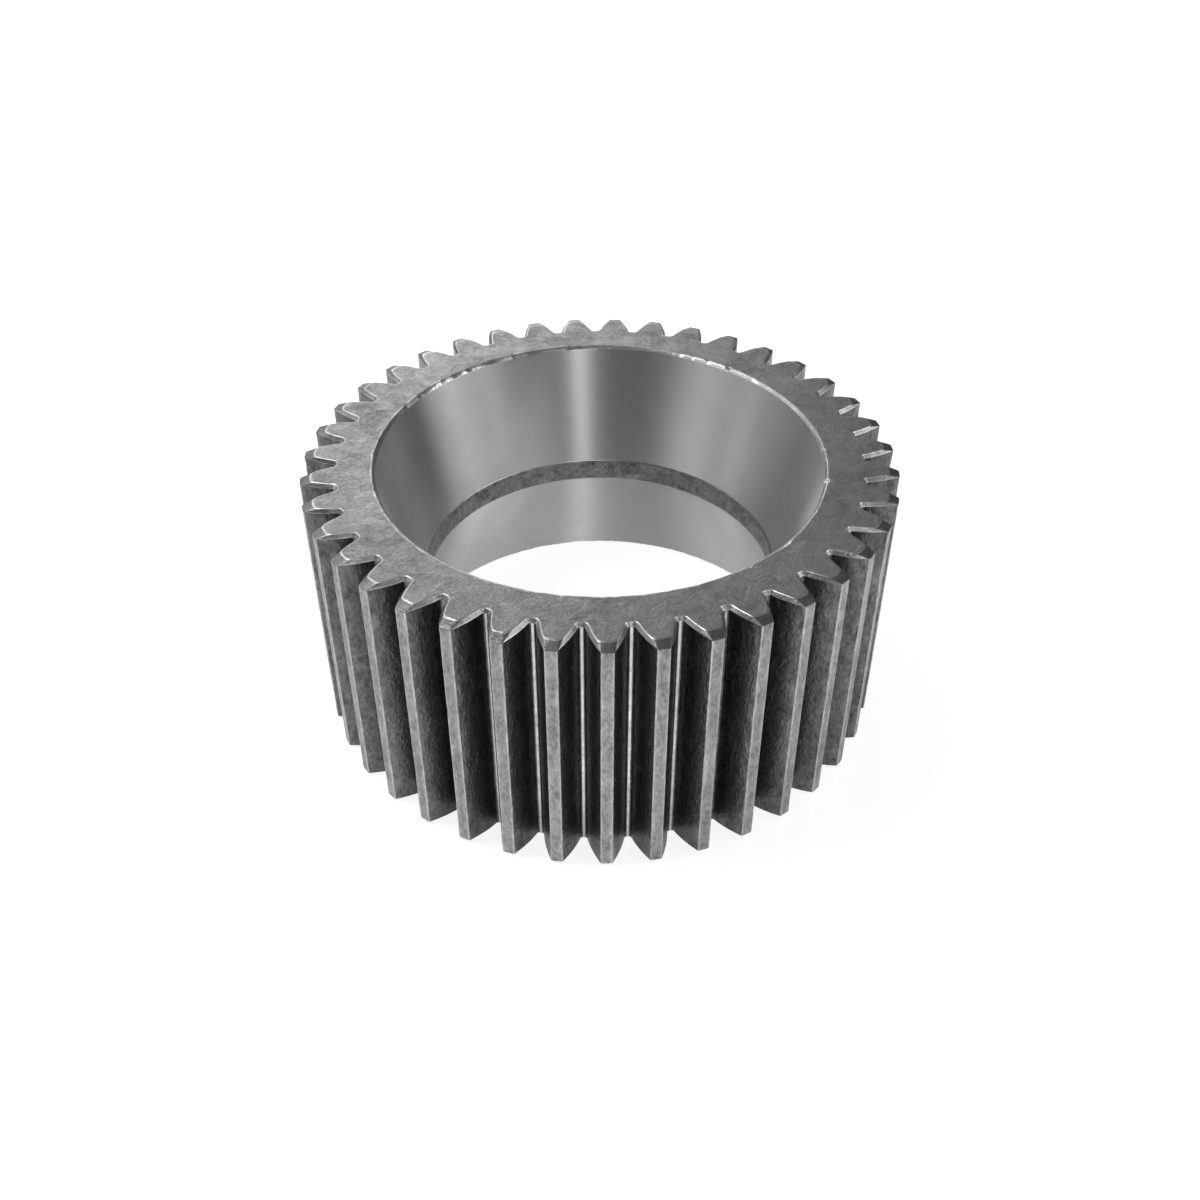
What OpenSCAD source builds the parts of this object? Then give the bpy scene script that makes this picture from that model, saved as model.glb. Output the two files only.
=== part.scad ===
// Planet gear: a straight-toothed steel ring, turned, hobbed and hardened in one piece.
// Its bore holds two cone-shaped raceways that narrow to a plain land at mid-width.
// The axis is +Z, and the origin is the centre of the land. Lengths are in millimetres.

/* [Teeth] */
// Number of teeth
teeth = 39; // [24:1:60]
// Gear module, the pitch diameter divided by the number of teeth
gear_module = 4; // [2.5:0.25:6]
// Pressure angle of the involute flanks, in degrees
pressure_angle = 25; // [20:0.5:27]
// Height of a tooth above the pitch circle, in modules
addendum = 1; // [0.85:0.05:1.05]
// Depth of a gap below the pitch circle, in modules
dedendum = 1.25; // [1.15:0.05:1.3]
// Radius of the fillet at the foot of each flank, in modules
root_fillet = 0.16; // [0.08:0.01:0.18]
// How far the cutter stood back from the ring, in modules, which makes the teeth thicker
profile_shift = 0.2; // [0:0.05:0.25]

/* [Ring] */
// Width of the gear from face to face
face_width = 76; // [50:1:100]
// Wall between the feet of the teeth and the mouth of the bore
rim_wall = 10.5; // [7:0.5:14]
// How far the chamfer on the tooth tips reaches in from the tip, along the face
tip_chamfer_in = 3.2; // [1:0.1:4]
// How far the chamfer on the tooth tips reaches down from the face
tip_chamfer_down = 1.0; // [0.5:0.1:2]

/* [Bore] */
// Angle between a raceway and the axis, in degrees
raceway_angle = 18.5; // [8:0.5:20]
// Width of the plain land between the two raceways
land_width = 7; // [4:0.5:12]
// How far the unground land stands proud of the raceways' small ends
land_rise = 0.3; // [0.1:0.1:0.8]
// Size of the chamfer at each mouth of the bore
mouth_chamfer = 0.8; // [0.3:0.1:1.5]

/* [Hidden] */

// Fineness of the outlines
flank_steps = 7;
fillet_steps = 4;
turned_sides = 180;
// How far the ring of teeth runs past the turned ring that trims it
overrun = 1;

half_width = face_width / 2;
tooth_step = 360 / teeth;
pitch_r = teeth * gear_module / 2;
base_r = pitch_r * cos(pressure_angle);
tip_r = pitch_r + addendum * gear_module;
root_r = pitch_r - dedendum * gear_module;
fillet_r = root_fillet * gear_module;

mouth_r = root_r - rim_wall;
raceway_r = mouth_r - mouth_chamfer;
raceway_drop = half_width - land_width / 2 - mouth_chamfer;
small_end_r = raceway_r - raceway_drop * tan(raceway_angle);
land_r = small_end_r - land_rise;

// The angle in degrees of an arc on a circle
function degrees(arc, radius) = arc / radius * 180 / PI;

// The involute function, of an angle in degrees and in degrees
function involute(angle) = degrees(tan(angle), 1) - angle;

// How much the profile shift adds to each side of a tooth on the pitch circle
side_shift = profile_shift * gear_module * tan(pressure_angle);
// Angle from the middle of a gap to where its flank starts on the base circle
flank_start = tooth_step / 4 - involute(pressure_angle) - degrees(side_shift, pitch_r);

// Point at a distance along the string that leaves the base circle at an angle
function on_string(angle, distance) =
    base_r * [cos(angle), sin(angle)] + distance * [sin(angle), -cos(angle)];

// Point of the flank where the string that draws it has unwound by that length
function on_flank(string) = on_string(flank_start + degrees(string, base_r), string);

// The fillet's centre moves on this circle, so that the fillet touches the root circle
fillet_orbit = root_r + fillet_r;
// String where the fillet meets the flank: none if the gap is cut below the base circle
string_low = max(sqrt(max(pow(fillet_orbit, 2) - pow(base_r, 2), 0)) - fillet_r, 0);
string_high = sqrt(pow(tip_r + overrun, 2) - pow(base_r, 2));

// The fillet touches the flank itself, or else a straight foot that runs in from the base circle
fillet_turn = flank_start + degrees(string_low, base_r);
foot_turn = flank_start - asin(fillet_r / fillet_orbit);
fillet_centre = string_low > 0
    ? on_string(fillet_turn, string_low + fillet_r)
    : fillet_orbit * [cos(foot_turn), sin(foot_turn)];
fillet_from = fillet_turn + 90;
fillet_to = 180 + atan2(fillet_centre.y, fillet_centre.x);

// One side of a gap about +X, from outside the tips down its flank and round its fillet
gap_side = concat(
    [for (i = [flank_steps:-1:0])
        on_flank(string_low + (string_high - string_low) * i / flank_steps)],
    [for (i = [(string_low > 0 ? 1 : 0):fillet_steps])
        let (angle = fillet_from + (fillet_to - fillet_from) * i / fillet_steps)
        fillet_centre + fillet_r * [cos(angle), sin(angle)]]
);

// The same points on the other side of the first axis, or of the ring's middle plane
function mirrored(points) = [for (p = points) [p.x, -p.y]];

function reversed(points) = [for (i = [len(points) - 1:-1:0]) points[i]];

// A point turned about the axis
function turned(p, angle) =
    [p.x * cos(angle) - p.y * sin(angle), p.x * sin(angle) + p.y * cos(angle)];

// Outline of the ring of teeth, gap after gap, with a tooth on -Y
function ring_outline() =
    let (gap = concat(mirrored(gap_side), reversed(gap_side)))
    [for (k = [0:teeth - 1], p = gap) turned(p, (k + 0.5) * tooth_step - 90)];

// The ring of teeth as hobbed, before the turned ring trims it
module toothed_prism() {
    linear_extrude(height = face_width + 2 * overrun, center = true)
        polygon(ring_outline());
}

// The ring as turned: faces, tip chamfers, mouths, both raceways and the proud land
module ring_blank() {
    upper_half = [
        [land_r, land_width / 2 - land_rise],
        [small_end_r, land_width / 2],
        [raceway_r, half_width - mouth_chamfer],
        [mouth_r, half_width],
        [tip_r - tip_chamfer_in, half_width],
        [tip_r, half_width - tip_chamfer_down]
    ];
    rotate_extrude($fn = turned_sides)
        polygon(concat(upper_half, mirrored(reversed(upper_half))));
}

module planet_gear() {
    color("slategray")
    intersection() {
        ring_blank();
        toothed_prism();
    }
}

planet_gear();
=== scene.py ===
"""Planet gear: a straight-toothed steel ring whose bore holds two ground, cone-shaped raceways.

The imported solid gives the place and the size. This script lays one finished skin of the same form
over it, with the chamfered tooth ends, broken edges, dents and finishes of the real gear.
Lengths are in millimetres, as on a workshop drawing, and MM turns them into Blender's metres.
The stage, its lamps and the camera are in metres and degrees.
"""
import math
from functools import partial, reduce

import bpy
import numpy as np
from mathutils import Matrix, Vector


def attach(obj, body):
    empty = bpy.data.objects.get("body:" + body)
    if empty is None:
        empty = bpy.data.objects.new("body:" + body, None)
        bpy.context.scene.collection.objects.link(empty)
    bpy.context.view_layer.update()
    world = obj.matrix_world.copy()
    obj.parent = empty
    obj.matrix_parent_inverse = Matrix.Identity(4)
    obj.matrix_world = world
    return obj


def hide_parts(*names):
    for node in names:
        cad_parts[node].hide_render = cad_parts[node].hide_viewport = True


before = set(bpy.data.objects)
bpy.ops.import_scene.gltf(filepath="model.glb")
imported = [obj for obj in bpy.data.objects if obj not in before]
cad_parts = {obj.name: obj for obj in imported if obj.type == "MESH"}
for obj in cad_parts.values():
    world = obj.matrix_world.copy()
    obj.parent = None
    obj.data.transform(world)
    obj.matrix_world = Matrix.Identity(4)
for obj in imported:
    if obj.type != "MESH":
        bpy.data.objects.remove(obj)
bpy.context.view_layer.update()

MM = 0.001
RANDOM_SEED = 39
rng = np.random.default_rng(RANDOM_SEED)

# Teeth
TEETH = 39
MODULE = 4.0
PRESSURE = math.radians(25)
PROFILE_SHIFT = 0.2 * MODULE
DEDENDUM = 1.25 * MODULE
FILLET_R = 0.16 * MODULE
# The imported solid's tips are flat facets, so the skin stays a few micrometres inside their circle
TIP_CLEARANCE = 0.005
PITCH_R = TEETH * MODULE / 2
BASE_R = PITCH_R * math.cos(PRESSURE)
TIP_R = PITCH_R + MODULE - TIP_CLEARANCE
ROOT_R = PITCH_R - DEDENDUM
TOOTH_STEP = 2 * math.pi / TEETH

# Ring and bore
HALF_WIDTH = 38.0
RIM_WALL = 10.5
TIP_CHAMFER_IN = 3.2
TIP_CHAMFER_DOWN = 1.0
FLANK_CHAMFER = 0.95
MOUTH_CHAMFER = 0.8
RACEWAY_ANGLE = math.radians(18.5)
SMALL_END_Z = 3.5
LAND_RISE = 0.3
MOUTH_R = ROOT_R - RIM_WALL
RACEWAY_R = MOUTH_R - MOUTH_CHAMFER
SMALL_END_R = RACEWAY_R - (HALF_WIDTH - MOUTH_CHAMFER - SMALL_END_Z) * math.tan(RACEWAY_ANGLE)
LAND_R = SMALL_END_R - LAND_RISE

# How finely the skin is divided along half a pitch: root, fillet, flank, tip corner, tip land
ROOT_STEPS, FILLET_STEPS, FLANK_STEPS, CORNER_STEPS, LAND_STEPS = 1, 4, 5, 3, 2
HALF_PITCH = ROOT_STEPS + FILLET_STEPS + FLANK_STEPS + CORNER_STEPS + LAND_STEPS
LAND_START = HALF_PITCH - LAND_STEPS
CORNER_START = LAND_START - CORNER_STEPS
COLUMNS = TEETH * 2 * HALF_PITCH
# Angle of each column in the bore, evenly spread, and starting where the outline starts
BORE_ANGLES = (np.arange(COLUMNS) / COLUMNS) * 2 * math.pi - math.pi / 2
# Steps from the middle of a gap to each column of points, and to each column of faces
COLUMN_PLACE = np.abs(np.arange(COLUMNS) % (2 * HALF_PITCH) - HALF_PITCH)
FACE_PLACE = np.abs(np.arange(COLUMNS) % (2 * HALF_PITCH) + 0.5 - HALF_PITCH)

# Angle from the middle of a gap to where its flank starts on the base circle
FLANK_START = (TOOTH_STEP / 4 - (math.tan(PRESSURE) - PRESSURE)
               - PROFILE_SHIFT * math.tan(PRESSURE) / PITCH_R)
# Circle of the fillets' centres, and the string's length where a fillet meets its flank
FILLET_ORBIT = ROOT_R + FILLET_R
STRING_LOW = math.sqrt(FILLET_ORBIT ** 2 - BASE_R ** 2) - FILLET_R

# Size of the rounded corner between flank and tip, on the face and below the tip chamfer
CORNER_ON_FACE = 1.25
CORNER_ON_TOOTH = 0.22
# How far the chamfer's width strays on single tooth sides, as shares of its normal width
CHAMFER_NARROWER, CHAMFER_WIDER = 0.22, 0.16

# (inset, depth) down the chamfer at the ends of the flanks, with both of its borders rounded
CHAMFER_PATH = [
    (FLANK_CHAMFER + 0.16, 0.0),
    (FLANK_CHAMFER + 0.04, 0.015),
    (FLANK_CHAMFER - 0.07, 0.07),
    (FLANK_CHAMFER - 0.16, 0.16),
    (0.12, FLANK_CHAMFER - 0.12),
    (0.035, FLANK_CHAMFER - 0.01),
    (0.0, FLANK_CHAMFER + 0.1),
]
# Depths of the rows from there to mid-width
FLANK_DEPTHS = [1.18, 1.5, 3, 5, 7.5, 10, 13, 16, 19, 22, 25, 28, 31.5, 35, 38]
# (radius, height) up the bore, from mid-width to the top of the raceway, with rounded borders
RACEWAY_STEPS = 3
raceway_foot = (SMALL_END_R + 0.03, SMALL_END_Z + 0.1)
raceway_top = (RACEWAY_R - 0.08, HALF_WIDTH - MOUTH_CHAMFER - 0.24)
BORE_PATH = [
    (LAND_R, 0.0),
    (LAND_R, SMALL_END_Z - LAND_RISE - 0.12),
    (LAND_R + 0.05, SMALL_END_Z - LAND_RISE + 0.02),
    (SMALL_END_R - 0.05, SMALL_END_Z - 0.02),
    *np.linspace(raceway_foot, raceway_top, RACEWAY_STEPS + 1),
]
# (radius, height) up the chamfer at the bore's mouth and on to the face
MOUTH_PATH = [
    (RACEWAY_R + 0.03, HALF_WIDTH - MOUTH_CHAMFER),
    (MOUTH_R - 0.12, HALF_WIDTH - 0.13),
    (MOUTH_R, HALF_WIDTH - 0.03),
    (MOUTH_R + 0.15, HALF_WIDTH),
]
# How far across the face its rows lie, from the mouth to the outline of the teeth
FACE_SHARES = [0.035, 0.35, 0.7, 0.94]

# A band of faces lies between one row and the next: how many there are of each kind, in order
BAND_COUNTS = [
    ("land", 2), ("land_edge", 2), ("raceway", RACEWAY_STEPS + 1), ("mouth", 3), ("mouth_rim", 1),
    ("face", len(FACE_SHARES)), ("face_edge", 3), ("chamfer", 1), ("chamfer_foot", 2),
    ("tooth", len(FLANK_DEPTHS)),
]
upper_bands = [kind for kind, count in BAND_COUNTS for _ in range(count)]
bands = upper_bands + upper_bands[::-1]


def on_string(turn, distance):
    """Points at a distance along strings that leave the base circle at the angles in turn."""
    return np.stack([
        BASE_R * np.cos(turn) + distance * np.sin(turn),
        BASE_R * np.sin(turn) - distance * np.cos(turn)], axis=-1)


def on_flank(distance, inset):
    """The involute flank, moved into the steel by inset: the string turns by (distance + inset)
    over the base radius, because a curve at a constant distance from an involute is the same
    involute with its string cut shorter."""
    return on_string(FLANK_START + (distance + inset) / BASE_R, distance)


def on_circle(angle, radius, centre=(0.0, 0.0)):
    """Points of a circle: its centre, plus the radius times the angle's cosine and sine."""
    return np.stack([
        centre[0] + radius * np.cos(angle), centre[1] + radius * np.sin(angle)], axis=-1)


def half_pitch(inset, tip_r, corner):
    """Half a pitch, from the middle of a gap on the first axis to the middle of a tooth.
    Root circle, fillet, involute and tip circle, all moved into the steel by inset. A quadratic
    curve of size corner rounds the corner between the flank and the tip circle of radius tip_r."""
    fillet_turn = FLANK_START + STRING_LOW / BASE_R
    fillet_centre = on_string(np.array(fillet_turn), np.array(STRING_LOW + FILLET_R))
    foot_angle = math.atan2(fillet_centre[1], fillet_centre[0])
    root = on_circle(np.linspace(0, foot_angle, ROOT_STEPS + 1)[:-1], ROOT_R - inset)
    fillet_angles = np.linspace(foot_angle + math.pi, fillet_turn + math.pi / 2, FILLET_STEPS + 1)
    fillet = on_circle(fillet_angles[:-1], FILLET_R + inset, fillet_centre)
    string_end = math.sqrt((tip_r - corner) ** 2 - BASE_R ** 2)
    flank = on_flank(np.linspace(STRING_LOW - inset, string_end, FLANK_STEPS + 1), inset)
    sharp = on_flank(np.array(math.sqrt(tip_r ** 2 - BASE_R ** 2)), inset)
    land_angle = math.atan2(sharp[1], sharp[0]) + corner / tip_r
    land = on_circle(np.linspace(land_angle, TOOTH_STEP / 2, LAND_STEPS + 1), tip_r)
    t = np.linspace(0, 1, CORNER_STEPS + 1)[1:-1, None]
    rounded = (1 - t) ** 2 * flank[-1] + 2 * t * (1 - t) * sharp + t ** 2 * land[0]
    return np.concatenate([root, fillet, flank, rounded, land])


def tip_at(depth):
    """Radius of the tooth tips at a depth below the face: the tip chamfer is a straight cone."""
    return min(TIP_R - TIP_CHAMFER_IN * (1 - depth / TIP_CHAMFER_DOWN), TIP_R)


def corner_at(depth):
    """Size of the corner between flank and tip at a depth below the face: it shrinks evenly from
    the face to the foot of the tip chamfer."""
    share = min(depth / TIP_CHAMFER_DOWN, 1)
    return CORNER_ON_FACE + (CORNER_ON_TOOTH - CORNER_ON_FACE) * share


def full_outline(depth, inset=0.0):
    """The whole ring of teeth at a depth below the face, moved into the steel by inset: half a
    pitch, its mirror image, and that pair turned about the axis by one pitch after another. The
    middle of the first gap lies half a pitch past -Y, and so a tooth is centred on -Y."""
    half = half_pitch(inset, tip_at(depth), corner_at(depth))
    pitch = np.concatenate([(half * [1, -1])[:0:-1], half[:-1]])
    turn = (np.arange(TEETH) + 0.5) * TOOTH_STEP - math.pi / 2
    cos, sin = np.cos(turn)[:, None], np.sin(turn)[:, None]
    x, y = pitch[:, 0], pitch[:, 1]
    return np.stack([(x * cos - y * sin).ravel(), (x * sin + y * cos).ravel()], axis=-1)


def chamfer_share():
    """How wide the chamfer is at each column, as a share of its normal width. It was filed by
    hand: each tooth side has its own width, and the width drifts smoothly from side to side."""
    sides = 1 + rng.uniform(-CHAMFER_NARROWER, CHAMFER_WIDER, 2 * TEETH)
    place = np.arange(COLUMNS) / HALF_PITCH
    before = np.floor(place).astype(int)
    after = (before + 1) % (2 * TEETH)
    t = place % 1
    t = t * t * (3 - 2 * t)
    return sides[before] * (1 - t) + sides[after] * t


def level_row(xy, height):
    """One row of the skin: a turn of points round the axis, all at one height."""
    return np.column_stack([xy, np.full(COLUMNS, height)])


def skin_rows():
    """The upper half of the skin as rows of points, one row a turn round the axis: up the bore,
    across the face and down the teeth to mid-width. Between the mouth and the outline of the
    teeth, each row goes the same share of the way from the one to the other."""
    bore = [level_row(on_circle(BORE_ANGLES, radius), height)
            for radius, height in BORE_PATH + MOUTH_PATH]
    width = chamfer_share()[:, None]
    chamfer = []
    for inset, depth in CHAMFER_PATH:
        uncut, whole = full_outline(depth), full_outline(depth, inset)
        chamfer.append(level_row(uncut + (whole - uncut) * width, HALF_WIDTH - depth))
    mouth, rim = bore[-1], chamfer[0]
    face = [mouth * (1 - share) + rim * share for share in FACE_SHARES]
    teeth = [level_row(full_outline(depth), HALF_WIDTH - depth) for depth in FLANK_DEPTHS]
    return np.stack(bore + face + chamfer + teeth)


# Nicks in the edge of the bore: how many, how far each reaches, and how much of it goes down
NICKS = 170
NICK_REACH = 0.55
NICK_DOWN = 0.8
# A share of them crowds about the middle of the stretch of the mouth that was rubbed, whose
# brightness is also a painted highlight
MOUTH_WEAR_AND_HIGHLIGHT = math.radians(133)
NICKS_CROWDED = 0.25
CROWD_SPREAD = 0.2
NICK_WIDTH, NICK_WIDTH_SPREAD = 0.8, 0.6
NARROWEST_NICK, WIDEST_NICK = 0.35, 3.0
NICK_DEPTH, SHALLOWEST_NICK = 0.045, 0.015
# (angle, width, depth) of the one large nick
LARGE_NICK = (math.radians(50), 0.9, 0.42)

# Dents in the edges of the tooth tips, which lie at this angle from the middle of a tooth
DENTS = 220
TIP_EDGE_ANGLE = 0.019
DENT_SIZES = (0.6, 1.5)
DENT_DEPTH, SHALLOWEST_DENT, DEEPEST_DENT = 0.07, 0.03, 0.3
# How much longer a dent is along the tooth, and how far below the tip the last of it ends
DENT_STRETCH = 1.6
DENT_END = 1.6
# Dents keep this far from the faces
DENT_MARGIN = 1


def mouth_nicks():
    """(angle, width, depth) of each nick in the edge of the bore."""
    angles = np.where(rng.random(NICKS) < NICKS_CROWDED,
                      rng.normal(MOUTH_WEAR_AND_HIGHLIGHT, CROWD_SPREAD, NICKS),
                      rng.uniform(-math.pi, math.pi, NICKS))
    widths = np.clip(rng.lognormal(math.log(NICK_WIDTH), NICK_WIDTH_SPREAD, NICKS),
                     NARROWEST_NICK, WIDEST_NICK)
    depths = rng.exponential(NICK_DEPTH, NICKS) + SHALLOWEST_NICK
    return [*zip(angles, widths, depths), LARGE_NICK]


def tip_dents():
    """(centre, size, depth) of each dent in the edges of the tooth tips."""
    middle = rng.integers(0, TEETH, DENTS) * TOOTH_STEP - math.pi / 2
    angle = middle + rng.choice([-1, 1], DENTS) * TIP_EDGE_ANGLE
    reach = HALF_WIDTH - DENT_MARGIN
    centres = np.column_stack([on_circle(angle, TIP_R), rng.uniform(-reach, reach, DENTS)])
    sizes = rng.uniform(*DENT_SIZES, DENTS)
    depths = rng.exponential(DENT_DEPTH, DENTS) + SHALLOWEST_DENT
    return list(zip(centres, sizes, depths))


def nicked_mouth(skin, nicks):
    """Nicks in the edge of the bore: each pushes the edge out, and towards mid-width, by a
    bell-shaped depth that fades along the edge with the nick's own width, and across it within
    a millimetre."""
    radius = np.hypot(skin[..., 0], skin[..., 1])
    angle = np.arctan2(skin[..., 1], skin[..., 0])
    from_edge = np.hypot(radius - MOUTH_R, np.abs(skin[..., 2]) - HALF_WIDTH)
    push = np.zeros_like(radius)
    for where, width, depth in nicks:
        along = (angle - where + math.pi) % (2 * math.pi) - math.pi
        push += depth * np.exp(-(along * MOUTH_R / width) ** 2)
    push *= np.exp(-(from_edge / NICK_REACH) ** 2)
    nicked = skin.copy()
    nicked[..., :2] *= (1 + push / radius)[..., None]
    nicked[..., 2] -= np.sign(skin[..., 2]) * push * NICK_DOWN
    return nicked


def dented_tips(skin, dents):
    """Dents in the edges of the tooth tips: each pulls the steel in towards the axis by a
    bell-shaped depth that fades along the tooth and across it."""
    radius = np.hypot(skin[..., 0], skin[..., 1])
    near_tip = np.clip(radius - (TIP_R - DENT_END), 0, 1)
    pull = np.zeros_like(radius)
    for centre, size, depth in dents:
        away = np.linalg.norm((skin - centre) / [1, 1, DENT_STRETCH], axis=-1)
        pull += depth * np.exp(-(away / size) ** 2)
    dented = skin.copy()
    dented[..., :2] *= (1 - np.minimum(pull, DEEPEST_DENT) * near_tip / radius)[..., None]
    return dented


def grid_mesh(name, points):
    """A mesh from a grid of points that closes on itself both ways round, like a torus. Rows run
    up the bore and down the teeth, and columns anticlockwise, so the faces point outwards."""
    rows, columns = points.shape[:2]
    row = np.arange(rows)[:, None] * columns
    column = np.arange(columns)[None, :]
    next_row = np.roll(row, -1)
    next_column = np.roll(column, -1)
    faces = np.stack([
        next_row + column, next_row + next_column,
        row + next_column, row + column], axis=-1).reshape(-1, 4)
    flat = points.reshape(-1, 3)
    mesh = bpy.data.meshes.new(name)
    mesh.vertices.add(len(flat))
    mesh.vertices.foreach_set("co", flat.astype(np.float32).ravel())
    mesh.loops.add(faces.size)
    mesh.loops.foreach_set("vertex_index", faces.ravel().astype(np.int32))
    mesh.polygons.add(len(faces))
    mesh.polygons.foreach_set("loop_start", np.arange(0, faces.size, 4, dtype=np.int32))
    mesh.update(calc_edges=True)
    # Normals weighted by face area, so that a wide flat face stays flat up to its rounded border
    a, b, c, d = (flat[faces[:, corner]] for corner in range(4))
    facing = np.cross(c - a, d - b)
    normals = np.zeros_like(flat)
    for corner in range(4):
        np.add.at(normals, faces[:, corner], facing)
    normals /= np.linalg.norm(normals, axis=1)[:, None]
    mesh.polygons.foreach_set("use_smooth", np.ones(len(faces), bool))
    mesh.normals_split_custom_set_from_vertices(normals.tolist())
    return mesh


upper = skin_rows()
lower = upper[-2:0:-1] * [1, 1, -1]
points = nicked_mouth(np.concatenate([upper, lower]), mouth_nicks())
points = dented_tips(points, tip_dents()) * MM


# Steels
def node(tree, kind, inputs=None, **settings):
    """A new node. An input that is given a socket is linked to it, and any other takes a value."""
    made = tree.nodes.new(kind)
    for key, value in settings.items():
        setattr(made, key, value)
    for key, value in (inputs or {}).items():
        if isinstance(value, bpy.types.NodeSocket):
            tree.links.new(value, made.inputs[key])
        else:
            made.inputs[key].default_value = value
    return made


def group(name, inputs, outputs):
    """An empty node group with named sockets, with the two nodes that hold them inside it."""
    tree = bpy.data.node_groups.new(name, "ShaderNodeTree")
    for key, kind, value in inputs:
        socket = tree.interface.new_socket(key, in_out="INPUT", socket_type=kind)
        if value is not None:
            socket.default_value = value
    for key, kind in outputs:
        tree.interface.new_socket(key, in_out="OUTPUT", socket_type=kind)
    return tree, tree.nodes.new("NodeGroupInput"), tree.nodes.new("NodeGroupOutput")


def math_node(tree, operation, a, b=0.0, clamp=False):
    """Output of a Math node on two numbers or sockets."""
    made = node(tree, "ShaderNodeMath", {0: a, 1: b}, operation=operation, use_clamp=clamp)
    return made.outputs[0]


def noise(tree, where, scale, detail, distortion, roughness=0.6):
    """Blender's noise, with its middle moved to zero."""
    made = node(tree, "ShaderNodeTexNoise", {
        "Vector": where, "Scale": scale, "Detail": detail, "Roughness": roughness,
        "Distortion": distortion})
    return math_node(tree, "SUBTRACT", made.outputs["Fac"], 0.5)


# Detail and distortion of each layer of a steel's surface
LAYERS = {"Cloud": (3.0, 0.8), "Mottle": (4.0, 0.4), "Grain": (2.0, 0.0)}
# Hair scratches: the noise that they follow, and how far from its middle they end
SCRATCH_SCALE = 110.0
SCRATCH_DETAIL = 1.0
SCRATCH_BEND = 1.2
SCRATCH_WIDTH = 0.006
# They fade in from this far below a cloud's middle, and this fast
SCRATCH_FADE = 0.02
SCRATCH_STEEPNESS = 12.0
# Rubbed edges, and the painted highlight on the mouth: how strongly the mottling breaks them up,
# and what it leaves at its own middle
WEAR_AND_HIGHLIGHT_MOTTLE = 3.0
WEAR_AND_HIGHLIGHT_REST = 0.6
# Relief of the mottling and of the scratches, against the grain's
MOTTLE_RELIEF = 1.5
SCRATCH_RELIEF = 0.2


def surface_group():
    """Tone of hardened steel about 1: broad clouds, mottling, fine grain and hair scratches, and
    bright rubbed edges where the wear input is near 1; on one stretch of the mouth that brightness
    is also a painted highlight.
    Height is the relief of grain and mottling, with the scratches cut in."""
    number = "NodeSocketFloat"
    tree, given, out = group("steel_surface", [
        ("Position", "NodeSocketVector", None),
        ("Cloud Scale", number, 60.0), ("Cloud Depth", number, 0.5),
        ("Mottle Scale", number, 250.0), ("Mottle Depth", number, 0.5),
        ("Grain Scale", number, 1100.0), ("Grain Depth", number, 0.5),
        ("Scratch Depth", number, 0.0), ("Wear And Highlight", number, 0.0), ("Wear And Highlight Depth", number, 0.5),
    ], [("Tone", number), ("Height", number)])
    add, minus, times, over = (
        partial(math_node, tree, operation)
        for operation in ("ADD", "SUBTRACT", "MULTIPLY", "DIVIDE"))
    where = given.outputs["Position"]
    pattern = {
        layer: noise(tree, where, given.outputs[layer + " Scale"], detail, distortion)
        for layer, (detail, distortion) in LAYERS.items()}
    tone = reduce(add, [
        times(pattern[layer], given.outputs[layer + " Depth"]) for layer in LAYERS])
    # Hair scratches run where a slow noise crosses its middle, and only inside some of the clouds
    crossing = math_node(tree, "ABSOLUTE", noise(
        tree, where, SCRATCH_SCALE, SCRATCH_DETAIL, SCRATCH_BEND, roughness=0.5))
    line = minus(1.0, over(crossing, SCRATCH_WIDTH), clamp=True)
    inside = times(add(pattern["Cloud"], SCRATCH_FADE), SCRATCH_STEEPNESS, clamp=True)
    scratch = times(times(line, inside), given.outputs["Scratch Depth"])
    # Rubbed edges, and the painted highlight on the mouth, break up where the mottling is low
    unbroken = add(times(pattern["Mottle"], WEAR_AND_HIGHLIGHT_MOTTLE), WEAR_AND_HIGHLIGHT_REST, clamp=True)
    rubbed_and_highlit = times(times(given.outputs["Wear And Highlight"], unbroken), given.outputs["Wear And Highlight Depth"])
    tone = add(tone, add(scratch, rubbed_and_highlit))
    tree.links.new(add(tone, 1.0), out.inputs["Tone"])
    height = minus(add(pattern["Grain"], times(pattern["Mottle"], MOTTLE_RELIEF)),
                   times(line, SCRATCH_RELIEF))
    tree.links.new(height, out.inputs["Height"])
    return tree


surface = surface_group()
# Steel's blue, as a share of its red and green
STEEL_BLUE = 1.012
# How much smoother a spot is than its steel, for each share that it is brighter
SMOOTHER = 0.33
RELIEF_DEPTH = 0.2 * MM
QUARTER_TURN = 0.25


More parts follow.
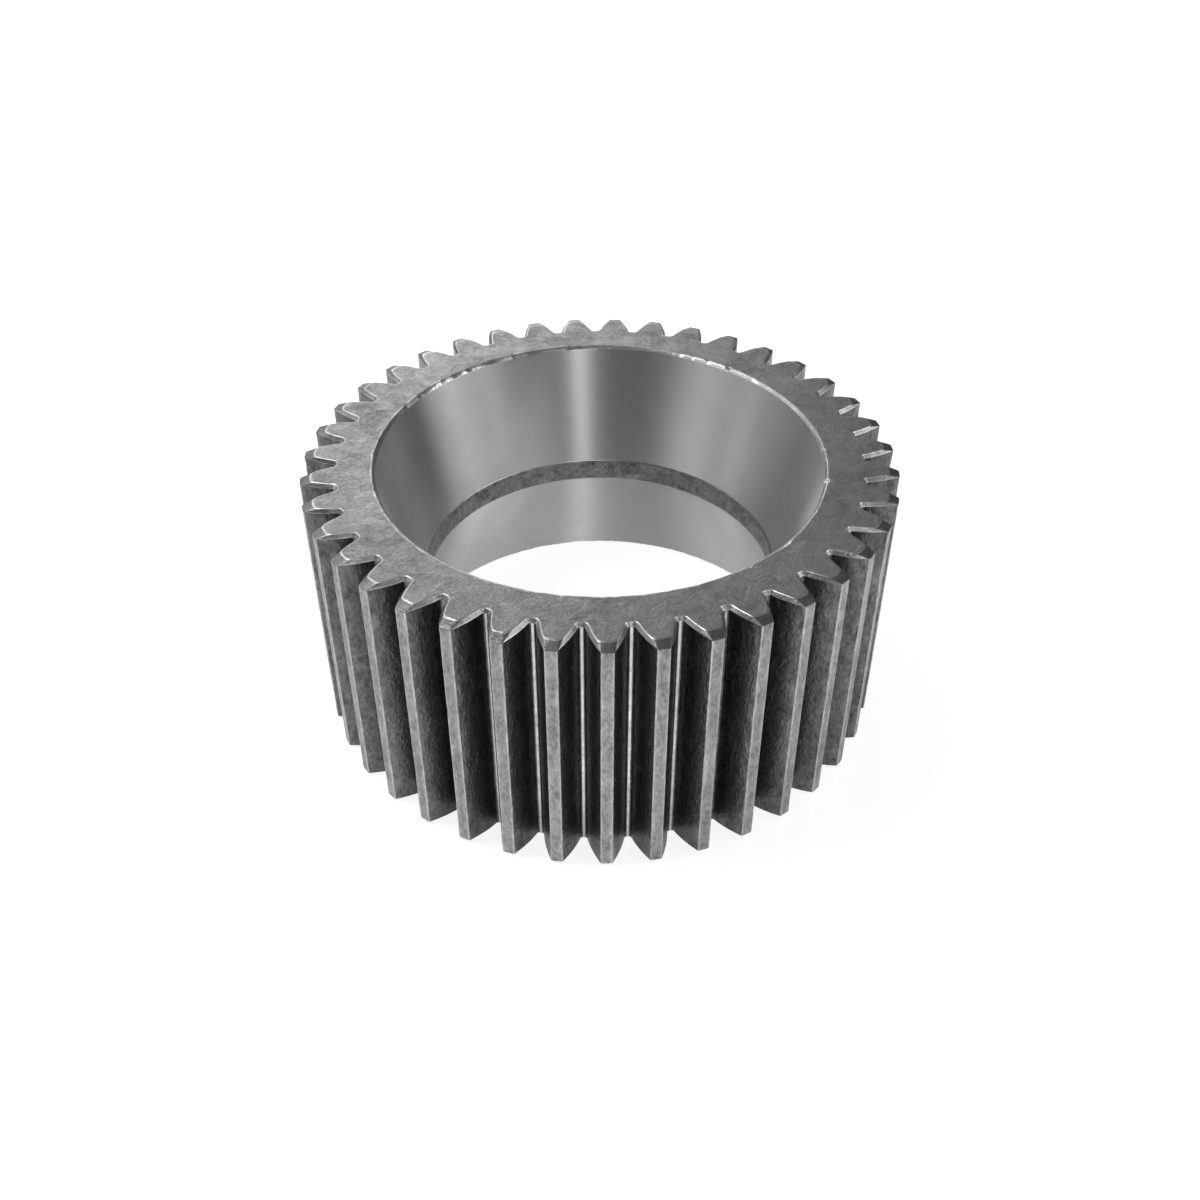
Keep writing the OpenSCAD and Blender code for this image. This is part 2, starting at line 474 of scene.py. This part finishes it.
def steel(name, colour, roughness, cloud=(60, 0.5), mottle=(250, 0.4), grain=(1100, 0.5),
          scratch=0.0, wear=0.0, bump=0.2, stretch=(1, 1, 1), anisotropic=0.0):
    """Steel of one finish: its grey, its roughness, and the scale and depth of each layer of its
    surface. A value under 1 in stretch draws the layers out along that axis, and anisotropic is
    how strongly grinding marks that run round the gear's axis spread a reflection."""
    material = bpy.data.materials.new(name)
    material.use_nodes = True
    tree = material.node_tree
    shader = tree.nodes["Principled BSDF"]
    shader.inputs["Metallic"].default_value = 1.0
    where = node(tree, "ShaderNodeTexCoord").outputs["Object"]
    mapping = node(tree, "ShaderNodeMapping", {"Vector": where, "Scale": stretch})
    # The wear attribute brightens rubbed edges, and on one stretch of the mouth it is a painted
    # highlight
    worn_and_highlit = node(tree, "ShaderNodeAttribute", attribute_name="wear")
    effect = tree.nodes.new("ShaderNodeGroup")
    effect.node_tree = surface
    tree.links.new(mapping.outputs[0], effect.inputs["Position"])
    tree.links.new(worn_and_highlit.outputs["Fac"], effect.inputs["Wear And Highlight"])
    for layer, (scale, depth) in zip(LAYERS, (cloud, mottle, grain)):
        effect.inputs[layer + " Scale"].default_value = scale
        effect.inputs[layer + " Depth"].default_value = depth
    effect.inputs["Scratch Depth"].default_value = scratch
    effect.inputs["Wear And Highlight Depth"].default_value = wear
    tone = effect.outputs["Tone"]
    tint = node(tree, "ShaderNodeVectorMath", {
        0: (colour, colour, colour * STEEL_BLUE), "Scale": tone}, operation="SCALE")
    tree.links.new(tint.outputs[0], shader.inputs["Base Color"])
    rough = math_node(tree, "SUBTRACT", 1 + SMOOTHER, math_node(tree, "MULTIPLY", tone, SMOOTHER))
    tree.links.new(math_node(tree, "MULTIPLY", rough, roughness, clamp=True),
                   shader.inputs["Roughness"])
    if bump:
        relief = node(tree, "ShaderNodeBump", {
            "Strength": bump, "Distance": RELIEF_DEPTH, "Height": effect.outputs["Height"]})
        tree.links.new(relief.outputs[0], shader.inputs["Normal"])
    if anisotropic:
        shader.inputs["Anisotropic"].default_value = anisotropic
        shader.inputs["Anisotropic Rotation"].default_value = QUARTER_TURN
        round_axis = node(tree, "ShaderNodeTangent", direction_type="RADIAL", axis="Z")
        tree.links.new(round_axis.outputs[0], shader.inputs["Tangent"])
    return material


GROUND = dict(cloud=(40, 0.25), mottle=(200, 0.1), grain=(900, 0.12), bump=0.0)
# The lower raceway is ground more coarsely, so that reflections run wider in it
FINISHES = {
    "blasted_face": dict(colour=0.37, roughness=0.48, cloud=(70, 0.9), mottle=(300, 1.1),
                         grain=(1300, 0.9), scratch=0.35, wear=0.25, bump=0.5),
    "worn_edge": dict(colour=0.62, roughness=0.35, mottle=(400, 1.3)),
    "chamfer_cut": dict(colour=0.29, roughness=0.36, mottle=(400, 1.0), grain=(1300, 0.8),
                        bump=0.4),
    "tip_chamfer": dict(colour=0.2, roughness=0.42, mottle=(400, 1.0), grain=(1300, 0.8),
                        bump=0.4),
    "hobbed_flank": dict(colour=0.125, roughness=0.32, cloud=(120, 0.9), mottle=(420, 1.3),
                         grain=(1400, 1.6), scratch=0.6, wear=0.6, bump=0.6,
                         stretch=(1, 1, 0.5)),
    # The roots' light grey is a painted highlight: it stands in for the bright line that each
    # concave root reflects
    "root_painted_highlight": dict(colour=0.68, roughness=0.32, mottle=(300, 0.8), grain=(900, 0.8)),
    "tip_land": dict(colour=0.32, roughness=0.42, cloud=(110, 0.7), mottle=(420, 1.1),
                     grain=(1400, 1.3), wear=0.3, bump=0.5, stretch=(1, 1, 0.5)),
    "tip_edge": dict(colour=0.5, roughness=0.4, mottle=(300, 1.5)),
    "ground_raceway": dict(GROUND, colour=0.58, roughness=0.36, anisotropic=0.95),
    "lower_raceway": dict(GROUND, colour=0.76, roughness=0.57, anisotropic=1.0),
    "unground_land": dict(colour=0.19, roughness=0.42, cloud=(150, 1.1), mottle=(500, 1.8),
                          grain=(1400, 0.9), bump=0.6),
    # The mouth chamfer's strong wear depth turns its rubbed stretch near white, and that brightness
    # is partly a painted highlight
    "mouth_chamfer": dict(colour=0.42, roughness=0.33, mottle=(500, 0.9), wear=1.4),
}
BAND_STEEL = {
    "land": "unground_land", "land_edge": "mouth_chamfer", "raceway": "ground_raceway",
    "mouth": "mouth_chamfer", "mouth_rim": "worn_edge", "face": "blasted_face",
    "face_edge": "worn_edge", "chamfer": "chamfer_cut", "chamfer_foot": "worn_edge",
    "tooth": "hobbed_flank",
}


def face_steels():
    """Number of each face's steel, row by row. It is that of the face's band, but the tips and the
    rounded corners beside them have finishes of their own, and the roots get a light steel of their
    own that is a painted highlight."""
    number = {name: place for place, name in enumerate(FINISHES)}
    band_steel = np.array([number[BAND_STEEL[band]] for band in bands])
    lower_half = band_steel[len(upper_bands):]
    lower_half[lower_half == number["ground_raceway"]] = number["lower_raceway"]
    steels = np.repeat(band_steel[:, None], COLUMNS, axis=1)
    on_land = FACE_PLACE > LAND_START
    on_corner = (FACE_PLACE > CORNER_START) & ~on_land
    on_tooth = np.isin(bands, ["tooth"])
    at_end = np.isin(bands, ["chamfer", "chamfer_foot"])
    steels[np.ix_(on_tooth, on_land)] = number["tip_land"]
    steels[np.ix_(on_tooth, on_corner)] = number["tip_edge"]
    steels[np.ix_(at_end, on_land | on_corner)] = number["tip_chamfer"]
    # The roots get the light steel of the painted highlight
    steels[np.ix_(on_tooth, FACE_PLACE < ROOT_STEPS)] = number["root_painted_highlight"]
    return steels


# The rubbed stretch of the mouth, whose brightness is also a painted highlight: its half length as
# an angle, the columns in one step of it, the least and the most that a step is brightened, and
# what is left of that on the top of the raceway
WEAR_AND_HIGHLIGHT_REACH = 0.3
WEAR_AND_HIGHLIGHT_STEP = 5
WEAR_AND_HIGHLIGHT_SHARES = (0.4, 1.0)
WEAR_AND_HIGHLIGHT_ON_RACEWAY = 0.3


def point_wear_and_highlight():
    """How far each point is brightened, from 0 to 1. It is 1 along the borders of the faces
    and the edges of the tips, which are rubbed bright, and fades on the way to the next points. The
    upper mouth is brightened on one stretch of rubbed steel with a painted highlight, which ends
    softly and is made of short steps, each brightened by its own share."""
    wear = np.zeros(points.shape[:2])
    raceway_row = len(BORE_PATH) - 1
    face_row = len(BORE_PATH) + len(MOUTH_PATH)
    rim_row = face_row + len(FACE_SHARES)
    tooth_row = rim_row + len(CHAMFER_PATH) - 1
    for row in (rim_row, len(points) - rim_row, len(points) - face_row + 1):
        wear[row] = 1
    away = (BORE_ANGLES - MOUTH_WEAR_AND_HIGHLIGHT + math.pi) % (2 * math.pi) - math.pi
    steps = np.repeat(rng.uniform(*WEAR_AND_HIGHLIGHT_SHARES, COLUMNS // WEAR_AND_HIGHLIGHT_STEP), WEAR_AND_HIGHLIGHT_STEP)
    wear[raceway_row:face_row] = np.exp(-(away / WEAR_AND_HIGHLIGHT_REACH) ** 4) * steps
    wear[raceway_row] *= WEAR_AND_HIGHLIGHT_ON_RACEWAY
    on_edge = (COLUMN_PLACE >= CORNER_START) & (COLUMN_PLACE <= LAND_START)
    wear[tooth_row:len(points) - tooth_row + 1, on_edge] = 1
    return wear


mesh = grid_mesh("gear_skin", points)
for name, finish in FINISHES.items():
    mesh.materials.append(steel(name, **finish))
mesh.polygons.foreach_set("material_index", face_steels().ravel().astype(np.int32))
# The wear attribute holds rubbed edges and, on one stretch of the mouth, a painted highlight
worn_and_highlit = mesh.attributes.new("wear", "FLOAT", "POINT")
worn_and_highlit.data.foreach_set("value", point_wear_and_highlight().astype(np.float32).ravel())

gear = bpy.data.objects.new("gear_ring", mesh)
bpy.context.scene.collection.objects.link(gear)
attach(gear, "root")
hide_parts("planet_gear")

# Stage
FLOOR_REACH = 4.0
FLOOR_ROUGHNESS = 0.2
# The floor's colour as it lights the gear, and as the camera sees it under the floor's own white
FLOOR_COLOUR = 0.9
FLOOR_COLOUR_SHOWN = 0.4
# Own white of floor and world, as the camera sees it and as steel mirrors it
FLOOR_SHOWN = 0.84
FLOOR_MIRRORED = 0.36
WORLD_SHOWN = 0.85
WORLD_MIRRORED = 0.02
# The world's even light
WORLD_LIGHT = 0.1
WHITE = (1, 1, 1, 1)


def own_white(tree, shown, mirrored):
    """Strength of a backdrop's own white: shown to the camera, mirrored in metal and glass. It is
    nothing to all other rays, so it casts no light on dull surfaces."""
    path = node(tree, "ShaderNodeLightPath")
    in_mirror = math_node(tree, "MAXIMUM", path.outputs["Is Glossy Ray"],
                          path.outputs["Is Transmission Ray"])
    return math_node(tree, "ADD", math_node(tree, "MULTIPLY", in_mirror, mirrored),
                     math_node(tree, "MULTIPLY", path.outputs["Is Camera Ray"], shown))


def pale_floor():
    """A pale floor whose colour is darker to the camera, under its own white, which keeps the
    gear's shadow pale."""
    material = bpy.data.materials.new("pale_floor")
    material.use_nodes = True
    tree = material.node_tree
    shader = tree.nodes["Principled BSDF"]
    shader.inputs["Roughness"].default_value = FLOOR_ROUGHNESS
    shader.inputs["Emission Color"].default_value = WHITE
    tree.links.new(own_white(tree, FLOOR_SHOWN, FLOOR_MIRRORED),
                   shader.inputs["Emission Strength"])
    seen = node(tree, "ShaderNodeLightPath").outputs["Is Camera Ray"]
    tone = math_node(tree, "SUBTRACT", FLOOR_COLOUR, math_node(
        tree, "MULTIPLY", seen, FLOOR_COLOUR - FLOOR_COLOUR_SHOWN))
    tint = node(tree, "ShaderNodeCombineColor", {0: tone, 1: tone, 2: tone})
    tree.links.new(tint.outputs[0], shader.inputs["Base Color"])
    return material


floor_mesh = bpy.data.meshes.new("floor")
corners = [(x * FLOOR_REACH, y * FLOOR_REACH, -HALF_WIDTH * MM)
           for x, y in ((-1, -1), (1, -1), (1, 1), (-1, 1))]
floor_mesh.from_pydata(corners, [], [(0, 1, 2, 3)])
floor_mesh.materials.append(pale_floor())
floor = bpy.data.objects.new("floor", floor_mesh)
bpy.context.scene.collection.objects.link(floor)


def lamp(name, azimuth, elevation, distance, size, radiance):
    """A rectangular softbox that faces the gear. Azimuth is counted from +X towards +Y, and
    the lamp's power is its radiance times pi times its area."""
    azimuth, elevation = math.radians(azimuth), math.radians(elevation)
    outward = Vector((math.cos(elevation) * math.cos(azimuth),
                      math.cos(elevation) * math.sin(azimuth), math.sin(elevation)))
    data = bpy.data.lights.new(name, "AREA")
    data.shape = "RECTANGLE"
    data.size, data.size_y = size
    data.energy = radiance * math.pi * size[0] * size[1]
    made = bpy.data.objects.new(name, data)
    made.location = outward * distance
    made.rotation_mode = "QUATERNION"
    made.rotation_quaternion = (-outward).to_track_quat("-Z", "Y")
    bpy.context.scene.collection.objects.link(made)


lamp("softbox_left", 162, 33, 1.6, (1.2, 1.0), 1.1)
lamp("key_left", 174, 61, 1.6, (0.66, 0.45), 10.0)
lamp("softbox_right", -10.5, 33, 1.6, (1.36, 1.0), 1.55)
lamp("strip_right", 0, 34, 1.5, (0.22, 0.4), 3.4)
lamp("strip_front", -79, 42, 1.6, (0.15, 0.45), 13.0)
lamp("softbox_back", 116, 26, 1.8, (1.1, 0.6), 1.5)
lamp("softbox_back_low", 96, 15, 1.8, (0.9, 0.3), 5.0)

world = bpy.data.worlds.new("studio")
world.use_nodes = True
bpy.context.scene.world = world
background = world.node_tree.nodes["Background"]
background.inputs["Color"].default_value = WHITE
white = own_white(world.node_tree, WORLD_SHOWN, WORLD_MIRRORED)
world.node_tree.links.new(
    math_node(world.node_tree, "ADD", WORLD_LIGHT, white), background.inputs["Strength"])

# Camera: the gear is turned a little in the photo, and the camera looks a little below its middle
GEAR_TURN = math.radians(1.24)
ELEVATION = math.radians(37.5)
PITCH_DOWN = math.radians(39.06)
DISTANCE = 4.8 * TIP_R * MM
FOCAL_PIXELS = 1336.0
IMAGE_PIXELS = 1200
# Blender's sensor width and lens are in real millimetres
SENSOR_WIDTH = 36.0
NEAREST, FARTHEST = 0.01, 50

cam_data = bpy.data.cameras.new("photo_camera")
cam_data.sensor_width = SENSOR_WIDTH
cam_data.lens = FOCAL_PIXELS / IMAGE_PIXELS * SENSOR_WIDTH
cam_data.clip_start, cam_data.clip_end = NEAREST, FARTHEST
cam = bpy.data.objects.new("photo_camera", cam_data)
flat = DISTANCE * math.cos(ELEVATION)
cam.location = (-flat * math.sin(GEAR_TURN), -flat * math.cos(GEAR_TURN),
                DISTANCE * math.sin(ELEVATION))
cam.rotation_euler = (math.pi / 2 - PITCH_DOWN, 0, -GEAR_TURN)
bpy.context.scene.collection.objects.link(cam)
bpy.context.scene.camera = cam

bpy.context.scene.view_settings.view_transform = "Standard"
